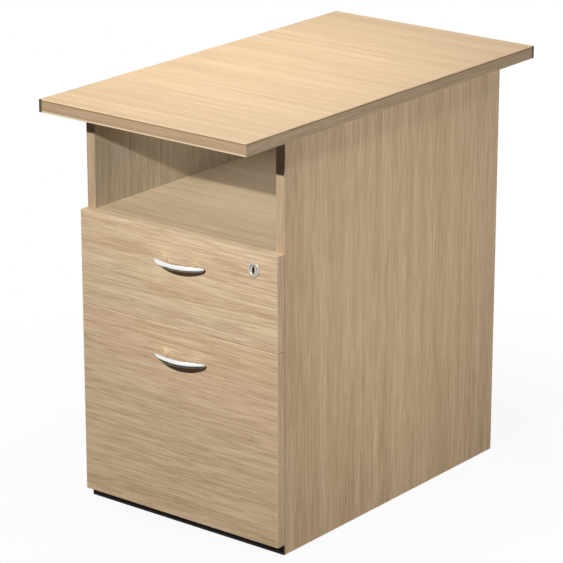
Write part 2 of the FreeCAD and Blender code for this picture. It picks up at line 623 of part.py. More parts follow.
def screw_holes(level, y0, y1):
    return [pin(HANDLE_SCREW + 0.15, Vector(x, y0, level), Vector(x, y1, level)) for x in HANDLE_SCREW_XS]


def front_board(foot, height, holes):
    board = block(-SIDE_OUT, SIDE_OUT, DOOR_FACE, DOOR_BACK, foot, foot + height)
    rims = [edge for edge in board.Edges
            if all(abs(vertex.Y - DOOR_FACE) < 1e-6 for vertex in edge.Vertexes)]
    return cut(board.makeChamfer(FRONT_ARRIS, rims), holes)


def drawer_box(name, foot, height, length, front_holes):
    """A box of four boards with its bottom panel held in a groove all round."""
    rear = DOOR_BACK + length
    upper = foot + height
    bottom_0 = foot + BOX_BOTTOM_RAISE
    groove_half = BOX_IN + BOX_GROOVE
    groove_front = DOOR_BACK + BOX_BOARD - BOX_GROOVE
    groove_rear = rear - BOX_BOARD + BOX_GROOVE
    groove = block(-groove_half, groove_half, groove_front, groove_rear,
                   bottom_0, bottom_0 + BOX_BOTTOM)
    side = block(BOX_IN, BOX_OUT, DOOR_BACK, rear, foot, upper)
    rims = edges_along(side, Y_AXIS, lambda p: p.z > upper - 0.1)
    side = side.makeChamfer(BOX_ARRIS, rims)
    keep(name + "_box_right", side.cut(groove))
    keep(name + "_box_left", mirrored(side).cut(groove))
    front = block(-BOX_IN, BOX_IN, DOOR_BACK, DOOR_BACK + BOX_BOARD, foot, upper)
    keep(name + "_box_front", front.cut(front_holes + [groove]))
    back = block(-BOX_IN, BOX_IN, rear - BOX_BOARD, rear, foot, upper)
    keep(name + "_box_back", back.cut(groove))
    play = 0.1
    keep(name + "_box_bottom", block(-groove_half + play, groove_half - play, groove_front + play,
                                     groove_rear - play, bottom_0, bottom_0 + BOX_BOTTOM))


def build_upper_drawer():
    level = UPPER_FRONT_TOP - HANDLE_DROP
    lock_hole = pin(NECK_RADIUS + 0.6, Vector(LOCK_X, DOOR_FACE - 1, LOCK_Z),
                    Vector(LOCK_X, DOOR_BACK + 1, LOCK_Z), LOCK_SIDES)
    holes = screw_holes(level, DOOR_FACE - 1, DOOR_BACK + 1) + [lock_hole]
    keep("upper_drawer_front", front_board(UPPER_FRONT_FOOT, UPPER_FRONT_HEIGHT, holes))
    drawer_box("upper", UPPER_BOX_FOOT, UPPER_BOX_HEIGHT, UPPER_BOX_LENGTH, [])
    keep("upper_handle", bow_handle(level))
    keep("upper_handle_screws", handle_screws(level, FRONT_THICKNESS))


FILE_SKIRT = 8.0            # file rail below the box side's upper edge
FILE_LIP = 14.0             # and above it, where the hooks hang


def build_lower_drawer():
    level = LOWER_FRONT_TOP - HANDLE_DROP
    holes = screw_holes(level, DOOR_FACE - 1, DOOR_BACK + BOX_BOARD + 1)
    keep("lower_drawer_front", front_board(BOTTOM_UNDER, LOWER_FRONT_HEIGHT, holes))
    drawer_box("lower", LOWER_BOX_FOOT, LOWER_BOX_HEIGHT, LOWER_BOX_LENGTH, holes)
    keep("lower_handle", bow_handle(level))
    keep("lower_handle_screws", handle_screws(level, FRONT_THICKNESS + BOX_BOARD))
    sheet = 1.5
    upper = LOWER_BOX_FOOT + LOWER_BOX_HEIGHT
    y0 = DOOR_BACK + BOX_BOARD + 2
    y1 = DOOR_BACK + LOWER_BOX_LENGTH - BOX_BOARD - 2
    inner = BOX_IN - 3.0
    ledge = block(inner, BOX_OUT - 2.0, y0, y1, upper, upper + sheet)
    lip = block(inner, inner + sheet, y0, y1, upper - FILE_SKIRT, upper + FILE_LIP)
    rail = fuse([ledge, lip])
    keep("file_rails", [rail, mirrored(rail)])


# ---------------------------------------------------------------- gang lock
NECK_RADIUS = 9.0
PLUG_RADIUS = 7.5
ROSETTE_RADIUS = 12.0
ROSETTE_PROUD = 1.5
ROSETTE_SIDES = 32
KEYWAY_HEIGHT = 11.0
KEYWAY_WIDTH = 3.2
KEYWAY_DEPTH = 16.0
LOCK_BODY = 12.0            # half the housing's height and width
BAR_PLATE = 2.5
PLATE_FRONT = BAR_MIDDLE - BAR_PLATE / 2
PLUG_REAR = PLATE_FRONT - 0.8
PLUG_FLANGE = 1.6
GUIDE_RISE = 45.0           # guides above the lower stud and the channel
GUIDE_HALF = 8.0
GUIDE_SPREAD = 16.0
GUIDE_SHEET = 1.8
CATCH_DEPTH = 10.0
CATCH_HEIGHT = 24.0
CATCH_RAMP = 4.0
CATCH_FOOT = 34.0
HOUSING_REAR = PLUG_REAR - PLUG_FLANGE - 0.2


def build_lock():
    """Housing on the side panel, plug with an eccentric pin, and the bar that the pin lifts."""
    axis_front = Vector(LOCK_X, DOOR_FACE + 0.5, LOCK_Z)
    body_front = FRONT_EDGE + 1.0
    body = block(LOCK_X - LOCK_BODY, LOCK_X + LOCK_BODY, body_front, HOUSING_REAR,
                 LOCK_Z - LOCK_BODY, LOCK_Z + LOCK_BODY)
    body = body.makeChamfer(3.0, edges_along(body, Y_AXIS, lambda p: True))
    arm = block(LOCK_X + LOCK_BODY - 3.5, SIDE_IN - 3.0, body_front, HOUSING_REAR,
                LOCK_Z - 5.0, LOCK_Z + 5.0)
    wall = block(SIDE_IN - 3.0, SIDE_IN, body_front, HOUSING_REAR, LOCK_Z - LOCK_BODY, LOCK_Z + LOCK_BODY)
    neck = pin(NECK_RADIUS, axis_front, Vector(LOCK_X, body_front, LOCK_Z), LOCK_SIDES)
    bore = round_hole(PLUG_RADIUS + FIT, Vector(LOCK_X, DOOR_FACE - 5, LOCK_Z),
                      Vector(LOCK_X, HOUSING_REAR + 1, LOCK_Z))
    keep("lock_housing", fuse([body, arm, wall, neck]).cut(bore))

    front = DOOR_FACE - ROSETTE_PROUD + 0.3
    rear = Vector(LOCK_X, PLUG_REAR, LOCK_Z)
    flange_front = Vector(LOCK_X, PLUG_REAR - PLUG_FLANGE, LOCK_Z)
    lean = PIN_OFFSET * math.cos(LOCK_TURN / 2)
    drop = PIN_OFFSET * math.sin(LOCK_TURN / 2)
    pin_front = Vector(LOCK_X - lean, PLUG_REAR, LOCK_Z - drop)
    pin_rear = pin_front + Y_AXIS * (0.8 + BAR_PLATE + 0.8)
    plug = fuse([rod(PLUG_RADIUS, Vector(LOCK_X, front, LOCK_Z), flange_front),
                 pin(PLUG_RADIUS + 1.0, flange_front, rear, LOCK_SIDES), pin(PIN_RADIUS, pin_front, pin_rear)])
    keyway = block(LOCK_X - KEYWAY_WIDTH / 2, LOCK_X + KEYWAY_WIDTH / 2, front - 1, front + KEYWAY_DEPTH,
                   LOCK_Z - KEYWAY_HEIGHT / 2, LOCK_Z + KEYWAY_HEIGHT / 2)
    keep("lock_cylinder", plug.cut(keyway))

    ring_0 = Vector(LOCK_X, DOOR_FACE - ROSETTE_PROUD, LOCK_Z)
    ring_1 = Vector(LOCK_X, DOOR_FACE, LOCK_Z)
    ring = turned([(0, ROSETTE_RADIUS - 1.0), (ROSETTE_PROUD - 0.5, ROSETTE_RADIUS),
                   (ROSETTE_PROUD, ROSETTE_RADIUS)], ring_0, Y_AXIS, ROSETTE_SIDES)
    keep("lock_rosette", ring.cut(round_hole(PLUG_RADIUS + EASE, ring_0 - Y_AXIS, ring_1 + Y_AXIS)))

    bar_x = SIDE_IN + BAR_SINK
    bar = block(bar_x, bar_x + BAR_THICKNESS, BAR_MIDDLE - BAR_WIDTH / 2, BAR_MIDDLE + BAR_WIDTH / 2,
                BAR_FOOT, PLATE_TOP)
    slot_z = LOCK_Z - drop
    slot_half = PIN_RADIUS + PIN_PLAY
    slot_0 = LOCK_X - PIN_OFFSET
    slot_1 = LOCK_X - lean
    plate = block(slot_0 - slot_half - 2.5, bar_x + 0.1, PLATE_FRONT, PLATE_FRONT + BAR_PLATE,
                  slot_z - slot_half - 3.0, slot_z + slot_half + 3.0)
    studs = [pin(STUD_RADIUS, Vector(SIDE_IN - STUD_REACH, BAR_MIDDLE, level),
                 Vector(bar_x + 0.5, BAR_MIDDLE, level), 12) for level in (UPPER_STUD, LOWER_STUD)]
    slot = [block(slot_0, slot_1, PLATE_FRONT - 1, PLATE_FRONT + BAR_PLATE + 1,
                  slot_z - slot_half, slot_z + slot_half)]
    slot += [rod(slot_half, Vector(x, PLATE_FRONT - 1, slot_z), Vector(x, PLATE_FRONT + BAR_PLATE + 1, slot_z))
             for x in (slot_0, slot_1)]
    keep("lock_bar", fuse([bar, plate] + studs).cut(slot))

    guides = []
    for level in ((LOWER_STUD + CHANNEL_FOOT) / 2, LOWER_STUD + GUIDE_RISE, CHANNEL_TOP + GUIDE_RISE):
        guide = block(SIDE_IN - GUIDE_SHEET, SIDE_IN, BAR_MIDDLE - GUIDE_SPREAD, BAR_MIDDLE + GUIDE_SPREAD,
                      level - GUIDE_HALF, level + GUIDE_HALF)
        tongue = block(SIDE_IN, SIDE_IN + BAR_SINK - 0.1, BAR_MIDDLE - BAR_WIDTH / 2,
                       BAR_MIDDLE + BAR_WIDTH / 2, level - GUIDE_HALF, level + GUIDE_HALF)
        guides.append(fuse([guide, tongue]))
    keep("lock_bar_guides", guides)

    catch_out = SIDE_IN - STUD_REACH + 4.0
    for name, stud in (("upper_lock_catch", UPPER_STUD), ("lower_lock_catch", LOWER_STUD)):
        y0 = BAR_MIDDLE + STUD_RADIUS + 1.0
        z0 = stud + STUD_RADIUS + CATCH_EASE
        hook = block(BOX_OUT, catch_out, y0, y0 + CATCH_DEPTH, z0, z0 + CATCH_HEIGHT)
        ramp = edges_along(hook, X_AXIS, lambda p: p.z < z0 + 0.1 and p.y > y0 + CATCH_DEPTH - 0.1)
        hook = hook.makeChamfer(CATCH_RAMP, ramp)
        foot = block(BOX_OUT, BOX_OUT + 2.0, y0, y0 + CATCH_FOOT, z0 + CATCH_HEIGHT / 4, z0 + CATCH_HEIGHT)
        keep(name, fuse([hook, foot]))


# ---------------------------------------------------------------- build and file
build_roller_runners()
build_ball_runners()
build_upper_drawer()
build_lower_drawer()
build_lock()
build_top()
build_carcass()
build_plinth()
build_feet()

os.makedirs("parts", exist_ok=True)
for node, solids in nodes.items():
    shape = solids[0] if len(solids) == 1 else Part.makeCompound(solids)
    shape.exportStep("parts/" + node + ".step")
print(len(nodes), "nodes,", sum(len(solids) for solids in nodes.values()), "solids")
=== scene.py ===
# %% [markdown]
# # A desk-high drawer pedestal, dressed in Blender
# The construction comes from CAD as a fixed frame: every board, runner and fitting is already at
# its real size and place.  This lesson gives each of them the finish that the real one has, adds
# the small pieces that are quicker to draw here, and lights the whole for a plain catalogue view.

# %% Load the frame
import math

import bpy
import numpy as np
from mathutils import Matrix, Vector


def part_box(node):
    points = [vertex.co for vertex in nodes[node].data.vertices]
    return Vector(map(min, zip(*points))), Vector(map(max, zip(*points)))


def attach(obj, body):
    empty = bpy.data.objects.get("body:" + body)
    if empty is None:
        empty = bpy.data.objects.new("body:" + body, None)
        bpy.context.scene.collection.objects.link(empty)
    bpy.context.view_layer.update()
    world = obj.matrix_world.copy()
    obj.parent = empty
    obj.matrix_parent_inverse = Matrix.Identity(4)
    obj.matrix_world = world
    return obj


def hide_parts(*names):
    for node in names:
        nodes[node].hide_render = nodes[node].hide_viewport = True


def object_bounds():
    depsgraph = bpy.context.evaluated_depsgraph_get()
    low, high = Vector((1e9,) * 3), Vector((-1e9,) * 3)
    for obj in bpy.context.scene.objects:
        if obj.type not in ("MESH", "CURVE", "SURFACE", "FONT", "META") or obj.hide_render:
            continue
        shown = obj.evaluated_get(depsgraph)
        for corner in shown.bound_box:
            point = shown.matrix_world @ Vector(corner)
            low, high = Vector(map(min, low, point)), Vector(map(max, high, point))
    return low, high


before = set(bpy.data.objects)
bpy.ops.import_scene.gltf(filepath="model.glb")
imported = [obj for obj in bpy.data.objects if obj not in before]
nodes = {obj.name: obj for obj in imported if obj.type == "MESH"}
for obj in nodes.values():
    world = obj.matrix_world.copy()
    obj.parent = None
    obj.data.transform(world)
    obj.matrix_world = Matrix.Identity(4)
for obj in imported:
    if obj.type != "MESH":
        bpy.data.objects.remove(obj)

CAD_BOX = [list(corner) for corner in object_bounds()]
MM = 0.001
print("CAD box", CAD_BOX, "nodes", len(nodes))

# %% [markdown]
# ## Camera
# The catalogue view looks at the front and the right-hand side from well above the top.  The lens is
# a long one, so that upright edges stay almost parallel.  Only two angles, a distance and a small
# step to the left and down describe the camera; its direction follows from the angles alone.

# %% Camera
VIEW_AZIMUTH = math.radians(38.25)
VIEW_ELEVATION = math.radians(18.56)
VIEW_DISTANCE = 4.958
STEP_RIGHT = -0.0230
STEP_UP = -0.0083
LENS = 183.5


def view_axes(azimuth, elevation):
    """Unit vectors to the camera's back, right and up, for a turn about Z and a rise above level."""
    back = Vector((math.sin(azimuth) * math.cos(elevation),
                   -math.cos(azimuth) * math.cos(elevation), math.sin(elevation)))
    right = Vector((math.cos(azimuth), math.sin(azimuth), 0.0))
    return back, right, back.cross(right)


low, high = (Vector(corner) for corner in CAD_BOX)
middle = (low + high) / 2
back, right, up = view_axes(VIEW_AZIMUTH, VIEW_ELEVATION)
lens = bpy.data.cameras.new("catalogue_camera")
lens.lens = LENS
lens.clip_end = 50.0
camera = bpy.data.objects.new("catalogue_camera", lens)
camera.location = middle + back * VIEW_DISTANCE + right * STEP_RIGHT + up * STEP_UP
camera.rotation_euler = back.to_track_quat("Z", "Y").to_euler()
bpy.context.scene.collection.objects.link(camera)
scene = bpy.context.scene
scene.camera = camera
scene.view_settings.view_transform = "Standard"
print("camera at", [round(v, 3) for v in camera.location])

# %% [markdown]
# ## Writing shader maths as expressions
# A node tree is easier to read as a sum than as a web of boxes.  `Wire` holds one output socket, and
# adding, multiplying or comparing wires adds the Math nodes.  `Tree.node` makes any other node: its
# settings go in first, then the values or wires of its sockets.

# %% Wire and Tree
class Wire:
    """One output socket of a node, with arithmetic."""

    def __init__(self, owner, socket):
        self.owner = owner
        self.socket = socket

    def beside(self, name):
        """Another output of the same node."""
        return Wire(self.owner, self.socket.node.outputs[name])

    def math(self, operation, *others):
        return self.owner.node("ShaderNodeMath", {"operation": operation},
                               dict(enumerate((self,) + others)))

    def __add__(self, other):
        return self.math("ADD", other)

    def __mul__(self, other):
        return self.math("MULTIPLY", other)

    __radd__ = __add__
    __rmul__ = __mul__

    def __sub__(self, other):
        return self.math("SUBTRACT", other)

    def __rsub__(self, other):
        return self * -1.0 + other

    def __pow__(self, other):
        return self.math("POWER", other)

    def __lt__(self, other):
        return self.math("LESS_THAN", other)

    def __gt__(self, other):
        return self.math("GREATER_THAN", other)

    def __abs__(self):
        return self.math("ABSOLUTE")

    def largest(self, other):
        return self.math("MAXIMUM", other)

    def ramp(self, start, end):
        """0 below start and 1 above end, with a soft passage between them."""
        return self.owner.node("ShaderNodeMapRange", {"interpolation_type": "SMOOTHSTEP"},
                               {"Value": self, "From Min": start, "From Max": end})


class Tree:
    """A node tree: 'node' makes any node and 'feed' gives a socket its value or wire."""

    def __init__(self, tree):
        self.tree = tree

    def node(self, kind, settings=None, sockets=None, output=0):
        made = self.tree.nodes.new(kind)
        for name, value in (settings or {}).items():
            setattr(made, name, value)
        for name, value in (sockets or {}).items():
            self.feed(made.inputs[name], value)
        return Wire(self, made.outputs[output])

    def feed(self, socket, value):
        if isinstance(value, Wire):
            self.tree.links.new(value.socket, socket)
        elif socket.type == "RGBA" and len(value) == 3:
            socket.default_value = (*value, 1.0)
        else:
            socket.default_value = value


print("a wire has", [name for name in vars(Wire) if not name.startswith("_")])

# %% [markdown]
# ## One class for every material
# `Finish` is the tree of one material, round a single Principled shader, with the few patterns that
# all the finishes below are mixed from: noise, plain or drawn out, a mix, a tone and a bump.  A
# colour is written as the screen shows it, because that is how it is judged, and `colour` turns it
# into the linear numbers that shaders use.

# %% Finish
class Finish(Tree):
    """A material with one Principled shader; constants and wires are named after its sockets."""

    def __init__(self, name, **constants):
        self.material = bpy.data.materials.new(name)
        self.material.use_nodes = True
        super().__init__(self.material.node_tree)
        self.shader = self.tree.nodes["Principled BSDF"]
        self.set(**constants)

    def set(self, **values):
        for socket, value in values.items():
            self.feed(self.shader.inputs[socket.replace("_", " ")], value)

    def place(self):
        """Position on the object, in metres."""
        return self.node("ShaderNodeTexCoord", output="Object")

    def axes(self):
        """The position's x, y and z."""
        parts = self.node("ShaderNodeSeparateXYZ", {}, {0: self.place()})
        return [parts.beside(axis) for axis in "XYZ"]

    def stretch(self, position, scale, shift=(0, 0, 0)):
        return self.node("ShaderNodeMapping", {},
                         {"Vector": position, "Scale": scale, "Location": shift})

    def noise(self, position, scale=1.0, detail=2.0, roughness=0.5):
        return self.node("ShaderNodeTexNoise", {}, {
            "Vector": position, "Scale": scale, "Detail": detail, "Roughness": roughness})

    def mix(self, factor, first, second, blend="MIX"):
        """The colour node; its sockets share their names, so they go by number."""
        return self.node("ShaderNodeMix", {"data_type": "RGBA", "blend_type": blend},
                         {0: factor, 6: first, 7: second}, output=2)

    def toned(self, colour, tone):
        """A colour multiplied by a tone."""
        return self.mix(1.0, colour, tone, blend="MULTIPLY")

    def bump(self, height, distance, strength):
        return self.node("ShaderNodeBump", {},
                         {"Height": height, "Distance": distance, "Strength": strength})


def colour(red, green, blue):
    """Screen colour in 0-255 to the linear numbers that shaders use."""
    screen = np.array([red, green, blue]) / 255.0
    linear = np.where(screen <= 0.04045, screen / 12.92, ((screen + 0.055) / 1.055) ** 2.4)
    return tuple(float(value) for value in linear)


print("a screen grey of 128 is", round(colour(128, 128, 128)[0], 3), "to a shader")

# %% [markdown]
# ## Oak-printed melamine
# The boards are chipboard faced with a printed paper: straight-grown pale oak, with fine lines a
# finger's length long, some wider soft bands, and short dark pores.  An image of wood would repeat
# and blur, so the print is worked out: noise fields drawn out along the grain, each at the real
# width of what it stands for.  The paper is the same for every board; only the grain's
# direction and where the board was cut from it change.

# %% Oak print
OAK_LIGHT = colour(226, 199, 164)
OAK_MIDDLE = colour(208, 180, 145)
OAK_DARK = colour(180, 150, 116)
OAK_PORE = colour(150, 122, 92)
BAND_WIDTH, BAND_LENGTH = 16 * MM, 550 * MM
LINE_WIDTH, LINE_LENGTH = 2.3 * MM, 70 * MM
HAIR_WIDTH, HAIR_LENGTH = 0.9 * MM, 30 * MM
PORE_WIDTH, PORE_LENGTH = 1.1 * MM, 12 * MM
CLOUD_SIZE = 1 / 3.5


def oak_print(finish, along, cut_from, strength=1.0, broad=0.4):
    """Colour, relief and lines of the print; cut_from shifts the board's place on the printed paper,
    and broad is the share of the soft bands in its figure, the rest being lines and hairs."""

    def streaks(width, length, detail, roughness):
        """Noise drawn out along the grain, each streak about that wide and that long."""
        scale = [1.0 / width] * 3
        scale["XYZ".index(along)] = 1.0 / length
        return finish.noise(finish.stretch(finish.place(), scale, cut_from), 1.0, detail, roughness)

    bands = streaks(BAND_WIDTH, BAND_LENGTH, 3.0, 0.55)
    lines = streaks(LINE_WIDTH, LINE_LENGTH, 3.0, 0.6)
    hairs = streaks(HAIR_WIDTH, HAIR_LENGTH, 2.0, 0.6)
    pores = streaks(PORE_WIDTH, PORE_LENGTH, 1.0, 0.5)
    clouds = streaks(CLOUD_SIZE, CLOUD_SIZE, 2.0, 0.5)
    fine = lines.ramp(0.36, 0.66) * 0.72 + hairs.ramp(0.35, 0.68) * 0.28
    figure = bands.ramp(0.32, 0.70) * broad + fine * (1.0 - broad)
    figure = (figure - 0.5) * strength + 0.5
    wood = finish.mix(figure, OAK_DARK, OAK_LIGHT)
    wood = finish.mix(clouds.ramp(0.3, 0.7) * 0.35, wood, OAK_MIDDLE)
    pore_mask = pores.ramp(0.64, 0.72) * (lines < 0.52)
    wood = finish.mix(pore_mask * 0.45 * strength, wood, OAK_PORE)
    return wood, figure * 0.5 - pore_mask, lines


def oak_finish(finish, wood, relief, lines):
    """The print under a matt lacquer, a little rougher where the lines run."""
    finish.set(Base_Color=wood, Roughness=lines * 0.12 + 0.42, Normal=finish.bump(relief, 0.00006, 0.6))
    return finish.material


print("middle oak", [round(value, 3) for value in OAK_MIDDLE])

# %% [markdown]
# ## Boards
# A board is faced first and edged afterwards, so its cut edges carry another print than its faces.
# The drawer fronts have side edges with the side panels' print, and their top face is painted paler,
# painted light where the top's overhang shades it.  Inside the cabinet the faces are toned greyer
# and cooler, painted shade against the warm light that the oak throws back.  These zones could be
# separate pieces; masks by position, taken from the boards' own boxes, are simpler and let one
# material dress a whole board.

# %% Boards
SIDE_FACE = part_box("right_side_panel")[1][0]
SIDE_CORE = (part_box("right_side_panel")[0][0] + SIDE_FACE) / 2
BACK_CORE = (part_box("back_panel")[0][1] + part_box("back_panel")[1][1]) / 2
END_BAND = 0.6 * MM
# Painted light: this tone lifts the drawer fronts' top faces paler, where the top's overhang shades them.
CREST_LIGHT_TONE = (1.28, 1.36, 1.42)
dressed = set()


def oak_board(name, along, cut_from, strength=1.0, broad=0.4, tone=None, ends=None, crest=None,
              inner=None):
    """A faced board; 'ends' gives the print of its left and right edges, 'crest' the height of a top
    edge lifted paler as painted light, where the top's overhang shades it, and 'inner' a tone of
    painted shade, greyer and cooler, on faces that lie inside the side panels' cores and before the
    back panel's."""
    finish = Finish(name, Specular_IOR_Level=0.2)
    wood, relief, lines = oak_print(finish, along, cut_from, strength, broad)
    across, behind, level = finish.axes()
    from_middle = abs(across)
    if ends:
        end_wood, end_relief, end_lines = oak_print(finish, *ends)
        at_end = from_middle > SIDE_FACE - END_BAND
        wood = finish.mix(at_end, wood, end_wood)
        relief = relief + (end_relief - relief) * at_end
        lines = lines + (end_lines - lines) * at_end
    if tone:
        wood = finish.toned(wood, tone)
    # Painted light on the top face, where the top's overhang shades it.
    if crest:
        wood = finish.mix(level > crest - END_BAND, wood, finish.toned(wood, CREST_LIGHT_TONE))
    # Painted shade on the faces inside the cabinet: greyer and cooler against the oak's warm bounce light.
    if inner:
        inside = (from_middle < SIDE_CORE) * (behind < BACK_CORE)
        wood = finish.mix(inside, wood, finish.toned(wood, inner))
    return oak_finish(finish, wood, relief, lines)


def dress(material, *names):
    """Puts a finish in place of the flat colour that the CAD nodes come with."""
    for name in names:
        mesh = nodes[name].data
        mesh.materials.clear()
        mesh.materials.append(material)
        dressed.add(name)


print("side panels' faces at", round(SIDE_FACE, 4), "cores at", round(SIDE_CORE, 4))

# %% [markdown]
# ## Dressing the boards
# The grain stands upright on everything that stands and runs across the top, the shelf and the
# fronts.  Both fronts are sawn from one sheet, so their figure runs on from one to the other, and
# their side edges carry on the side panels' print.  The tones are painted light and shade on the
# same paper: each board is tinted for its own place in the light.

# %% Dress the boards
# Painted shade: the faces inside the cabinet are toned greyer and cooler, against the warm light that the
# oak throws back.
INNER_SHADE_TONE = (0.83, 0.98, 1.14)
SIDE_PRINT = ("Z", (7.3, 1.9, 5.2))
side_look = dict(along="Z", strength=1.05, broad=0.34, inner=INNER_SHADE_TONE)
front_look = dict(along="X", cut_from=(2.5, 3.7, 6.6), strength=1.12, broad=0.3, ends=SIDE_PRINT)
# Each board's tone in this table is painted light and shade for its place in the light.
boards = {
    "top_panel": dict(along="X", cut_from=(0.0, 0.0, 0.0), strength=0.6, broad=0.5,
                      tone=(1.03, 1.02, 0.96)),
    "left_side_panel": dict(side_look, cut_from=(3.1, 0.7, 0.2)),
    "right_side_panel": dict(side_look, cut_from=SIDE_PRINT[1]),
    "back_panel": dict(along="Z", cut_from=(1.3, 6.1, 2.4), inner=INNER_SHADE_TONE),
    "compartment_shelf": dict(along="X", cut_from=(4.4, 2.2, 9.1), strength=0.75,
                              tone=(1.04, 1.13, 1.21)),
    "bottom_panel": dict(along="X", cut_from=(6.2, 8.3, 1.1), inner=INNER_SHADE_TONE),
    "upper_drawer_front": dict(front_look, tone=(1.0, 1.03, 1.06),
                               crest=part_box("upper_drawer_front")[1][2]),
    "lower_drawer_front": dict(front_look, tone=(0.98, 0.985, 0.995),
                               crest=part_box("lower_drawer_front")[1][2]),
}
for board, look in boards.items():
    dress(oak_board("oak_" + board, **look), board)
print("oak boards", len(boards))

# %% [markdown]
# ## Edging tapes
# Raw chipboard edges are closed with glued tape, printed darker than the board.  Round the top the
# tape keeps the untoned, lighter print on its rounded upper corner, a painted highlight, with a thin
# line of painted shade under it; its faces at the very front and back carry a little painted shade,
# the front and back tapes have a painted highlight along their lower corner, and there is a dark
# joint at two of the corners.  The tapes are already pieces of their own, so only these fine marks
# are left to masks by position.

# %% Edging tapes
# The arris and the lower corner carry painted highlights and the line under the arris painted shade; the
# joints are dark.
ARRIS = 1.0 * MM
SHADE_LINE_DEPTH = 3.2 * MM
FOOT_HIGHLIGHT_LINE = 4.0 * MM
CORNER_JOINT = 6.0 * MM
FOOT_HIGHLIGHT = colour(226, 204, 172)
PAINTED_SHADE_DARK = colour(128, 100, 70)
JOINT_DARK = colour(70, 56, 42)


def edging_tape(name, along, cut_from, tone):
    """Plain tape: the same print on a darker base."""
    finish = Finish(name, Specular_IOR_Level=0.2)
    wood, relief, lines = oak_print(finish, along, cut_from)
    return oak_finish(finish, finish.toned(wood, tone), relief, lines)


def top_tape(name, along, cut_from, tone, highlit_foot=False):
    """Tape round the top.  Its upper arris keeps the untoned, lighter print as a painted highlight,
    with a line of painted shade below it; its faces at the very front and back carry a little painted
    shade, and its lower corner may carry a painted highlight.  The joints at two opposite corners are
    dark: |x + y| is largest there."""
    finish = Finish(name, Specular_IOR_Level=0.2)
    wood, relief, lines = oak_print(finish, along, cut_from)
    across, behind, level = finish.axes()
    foot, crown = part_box("top_panel")[0][2], high.z
    below_arris = level < crown - ARRIS
    # The tape is toned darker below its arris; the untoned arris is a painted highlight.
    wood = finish.mix(below_arris, wood, finish.toned(wood, tone))
    # Painted shade: the faces at the very front and back, a quarter of the way to dark.
    wood = finish.mix((abs(behind) > high.y - END_BAND) * below_arris * 0.25, wood, PAINTED_SHADE_DARK)
    # Painted shade: a thin dark line just under the arris.
    wood = finish.mix((level > crown - SHADE_LINE_DEPTH) * below_arris * 0.8, wood, PAINTED_SHADE_DARK)
    at_joint = abs(across + behind) > high.x + high.y - CORNER_JOINT
    wood = finish.mix(at_joint * 0.9, wood, JOINT_DARK)
    if highlit_foot:
        # Painted highlight: a lighter line along the lower corner.
        highlight_mask = 1.0 - level.ramp(foot + FOOT_HIGHLIGHT_LINE / 2, foot + FOOT_HIGHLIGHT_LINE)
        wood = finish.mix(highlight_mask * (1.0 - at_joint) * 0.75, wood, FOOT_HIGHLIGHT)
    return oak_finish(finish, wood, relief, lines)


dress(top_tape("oak_end_edging", "X", (5.0, 0.4, 0.9), (0.70, 0.69, 0.69), highlit_foot=True),
      "top_end_edgings")
dress(top_tape("oak_side_edging", "Y", (8.0, 0.4, 0.9), (0.75, 0.77, 0.78)), "top_side_edgings")
dress(edging_tape("oak_panel_edging", "Z", (9.0, 3.4, 0.9), (0.74, 0.74, 0.74)), "side_panel_edgings")
print("tapes", [node.data.materials[0].name for name, node in nodes.items() if "edgings" in name])

# %% [markdown]
# ## Drawer boxes
# Inside, everything is plainer.  The drawer boxes are light grey faced board, with bottoms of a
# slightly darker sheet.  Both have a faint embossed pattern, which fine noise in the bump gives, and
# soft clouds in the grey keep a large plain face from looking painted.

# %% Drawer boxes
def shaded(base, share):
    """A lighter or darker form of a base colour."""
    return [min(1.0, value * share) for value in base]


def faced_board(name, base):
    """Light melamine or foil with a faint orange-peel emboss."""
    finish = Finish(name, Specular_IOR_Level=0.4)
    clouds = finish.noise(finish.place(), 9.0)
    emboss = finish.noise(finish.place(), 900.0)
    finish.set(Base_Color=finish.mix(clouds.ramp(0.3, 0.7), shaded(base, 0.93), base),
               Roughness=clouds * 0.10 + 0.45, Normal=finish.bump(emboss, 0.00005, 0.5))
    return finish.material


box_board = faced_board("grey_box_board", colour(214, 214, 210))
box_sheet = faced_board("grey_box_sheet", colour(205, 206, 203))
for drawer in ("upper", "lower"):
    dress(box_board, *[f"{drawer}_box_{side}" for side in ("left", "right", "front", "back")])
    dress(box_sheet, f"{drawer}_box_bottom")
print("boxes in", box_board.name, "and", box_sheet.name)

# %% [markdown]
# ## Plastics
# The plinth's strip, the feet and their inserts, the rollers and the lock bar's guides are injection
# mouldings.  The mould is spark-eroded and leaves a fine grain, and touch wears it brighter in
# places.  One function makes them all, because only the colour and the gloss differ.

# %% Plastics
def moulded_plastic(name, base, roughness):
    """Injection-moulded plastic with a fine spark-eroded grain."""
    finish = Finish(name)
    wear = finish.noise(finish.place(), 35.0, 3.0)
    grain = finish.noise(finish.place(), 2600.0)
    worn = [min(1.0, value + 0.004) for value in shaded(base, 1.25)]
    finish.set(Base_Color=finish.mix(wear.ramp(0.35, 0.75) * 0.5, base, worn),
               Roughness=wear * 0.16 + roughness, Normal=finish.bump(grain, 0.00003, 0.7))
    return finish.material


dress(moulded_plastic("plinth_plastic", colour(40, 32, 27), 0.42), "kick_strip", "plinth_rail")
dress(moulded_plastic("foot_nylon", colour(34, 34, 35), 0.40), "foot_inserts", "foot_front_left",
      "foot_front_right", "foot_rear_left", "foot_rear_right")
dress(moulded_plastic("roller_nylon", colour(226, 226, 220), 0.38), "front_rollers", "rear_rollers",
      "lock_bar_guides")
print("dressed with the plastics", len(dressed), "of", len(nodes))

# %% [markdown]
# ## Zinc plate and white paint
# Ball runners, cams, screws, file rails and the lock's hidden parts have a bright zinc plate, which
# shows soft clouds and, in its reflections, the rolling lines of the sheet.  The roller runners are
# painted instead: white powder, melted to a thick satin coat that has a light orange peel.

